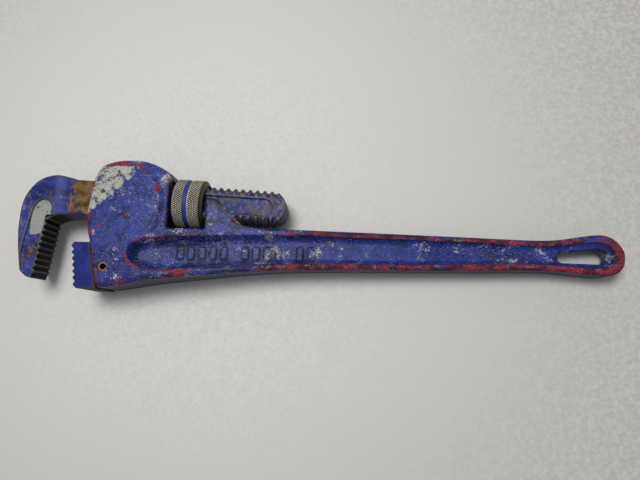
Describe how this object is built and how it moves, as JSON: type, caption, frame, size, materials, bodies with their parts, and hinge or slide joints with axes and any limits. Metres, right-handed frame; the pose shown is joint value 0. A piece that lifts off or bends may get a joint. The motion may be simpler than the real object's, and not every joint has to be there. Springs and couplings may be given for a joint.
{
  "type": "pipe wrench",
  "caption": "Heavy straight pipe wrench with a threaded hook jaw, a trapped knurled nut and a long fluted handle, in worn blue paint.",
  "frame": {"origin": "middle of the bounding box, on the floor that the wrench lies on", "axes": "+X along the handle away from the jaws, +Y up the height of the head from the heel jaw towards the hook's crown, +Z through the thickness, up from the floor"},
  "size_m": [0.4001, 0.0892, 0.034],
  "materials": {
    "painted_casting": "worn gloss enamel",
    "hook_steel": "worn paint over dark forged steel",
    "nut_steel": "grimy knurl",
    "heel_steel": "gloss enamel",
    "spring_steel": "oiled"
  },
  "bodies": {
    "frame": {"handle_frame": "painted_casting", "heel_jaw": "heel_steel", "heel_jaw_pin": "spring_steel", "coil_spring": "spring_steel"},
    "rocker": {"flat_spring": "spring_steel", "spring_rivet": "spring_steel"},
    "hook": {"hook_jaw": "hook_steel"},
    "nut": {"adjusting_nut": "nut_steel"}
  },
  "joints": [
    {"name": "jaw_rock", "type": "hinge", "parent": "frame", "child": "rocker", "pos_m": [-0.08195, 0.01625, 0.017], "axis": [0, 0, 1], "range_deg": [0, 2], "stiffness_Nm_per_rad": 20, "springref_deg": -2.86, "deforming": ["coil_spring"]},
    {"name": "nut_turn", "type": "hinge", "parent": "rocker", "child": "nut", "pos_m": [-0.08195, 0.01625, 0.017], "axis": [0.9984, -0.0558, 0], "range_deg": [-1418, 3544]},
    {"name": "jaw_travel", "type": "slide", "parent": "rocker", "child": "hook", "axis": [-0.9984, 0.0558, 0], "range_m": [-0.02, 0.05]}
  ],
  "couplings": [
    {"joint": "nut_turn", "follows": "jaw_travel", "rad_per_m": 1236.8}
  ]
}
